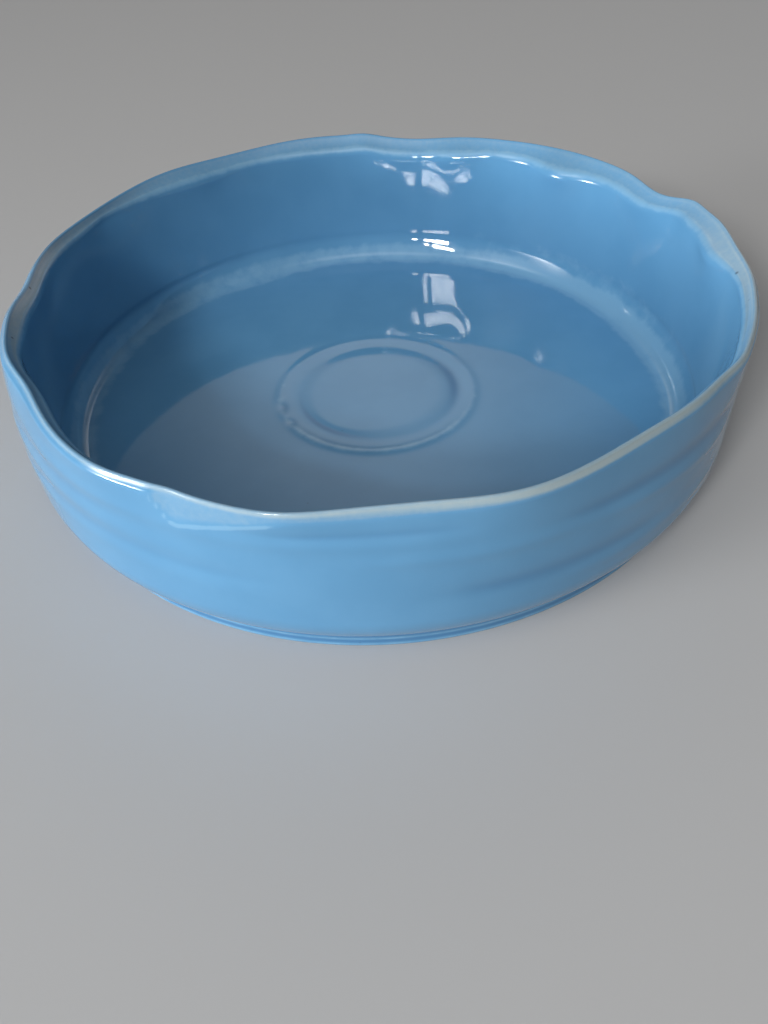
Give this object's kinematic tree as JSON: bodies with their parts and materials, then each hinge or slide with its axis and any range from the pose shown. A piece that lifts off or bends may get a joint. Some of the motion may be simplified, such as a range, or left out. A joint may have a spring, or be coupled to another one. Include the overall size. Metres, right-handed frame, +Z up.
{
  "type": "serving bowl",
  "caption": "Wide, low serving bowl with an upright wall, an uneven bevelled rim, a ringed disc in its flat floor and a low foot.",
  "frame": {"origin": "on the table, under the middle of the bowl", "axes": "+Z up, out of the bowl's mouth; the deepest dent of the uneven rim is on the -X side, and +Y is a quarter turn anticlockwise from +X seen from above"},
  "size_m": [0.2844, 0.2837, 0.0692],
  "materials": {
    "glaze": "glossy light blue glaze, paler and greyer where it thins over the lip"
  },
  "bodies": {
    "root": {"bowl": "glaze"}
  },
  "joints": []
}
